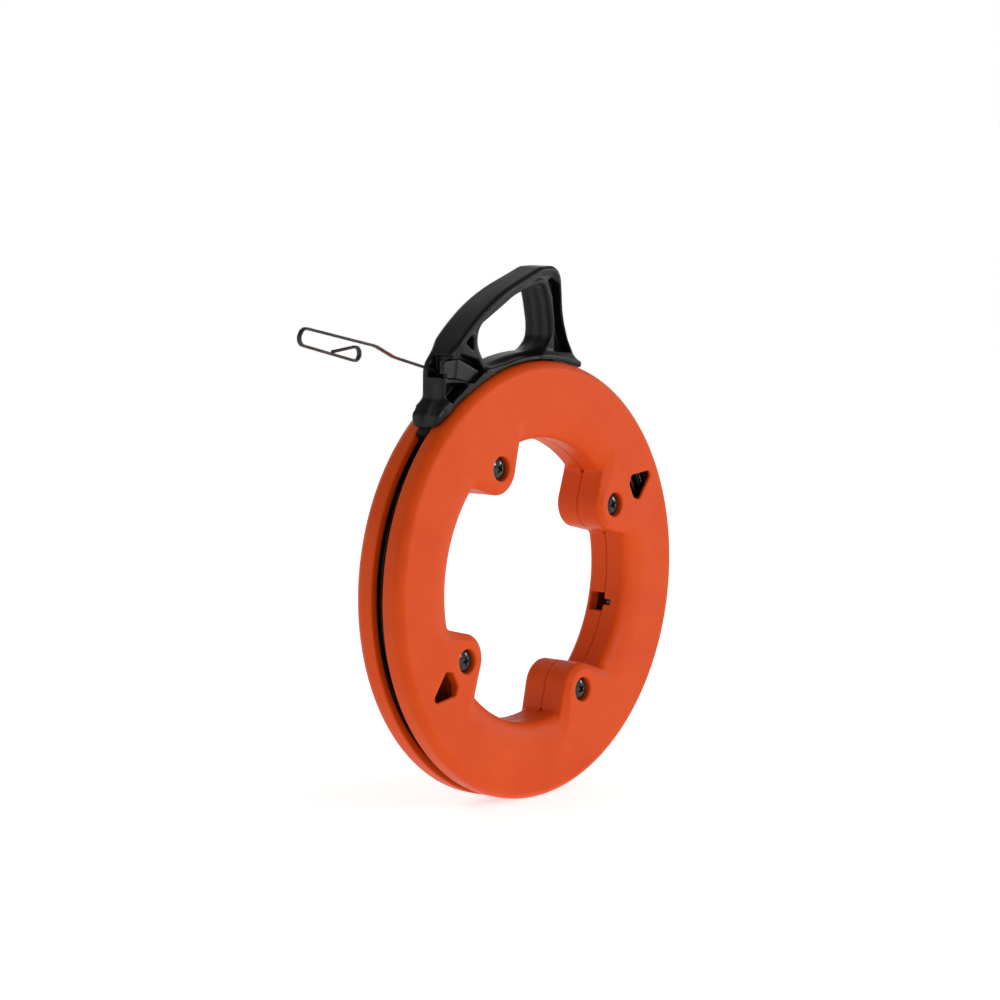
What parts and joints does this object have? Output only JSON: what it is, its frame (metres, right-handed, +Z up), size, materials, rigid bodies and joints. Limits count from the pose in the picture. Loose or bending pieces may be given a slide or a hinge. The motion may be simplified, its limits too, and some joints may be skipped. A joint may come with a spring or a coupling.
{
  "type": "fish tape reel",
  "caption": "Ring-shaped reel that stores a flat steel wire-pulling tape and pays it out through a handle that runs round the rim.",
  "frame": {"origin": "on the axis of the ring housing, at the middle of its thickness", "axes": "+Y along the reel's axis out of the rear face, the front face at -Y, +X to the right seen from the front, +Z up towards the handle"},
  "size_m": [0.3797, 0.0408, 0.3695],
  "materials": {
    "housing_plastic": "fine moulded grain, satin",
    "black_steel": "glossy black oxide",
    "zinc_steel": "zinc plated",
    "handle_plastic": "satin moulded",
    "shoe_plastic": "smooth",
    "guide_plastic": "smooth",
    "tape_steel": "dark blued spring steel"
  },
  "bodies": {
    "housing": {"housing_front": "housing_plastic", "housing_rear": "housing_plastic", "housing_screws": "black_steel", "housing_nuts": "zinc_steel", "tape_coil": "tape_steel", "tape_end_hook": "tape_steel"},
    "handle": {"handle_body": "handle_plastic", "handle_shoe": "shoe_plastic", "shoe_screws": "zinc_steel", "tape_guide": "guide_plastic"},
    "tape": {"tape_run": "tape_steel", "tape_tip": "tape_steel"}
  },
  "joints": [
    {"name": "handle_turn", "type": "hinge", "parent": "housing", "child": "handle", "pos_m": [0, 0, 0], "axis": [0, 1, 0], "continuous": true},
    {"name": "tape_slide", "type": "slide", "parent": "handle", "child": "tape", "axis": [-0.9636, 0, 0.2673], "range_m": [-0.015, 0.09]}
  ]
}
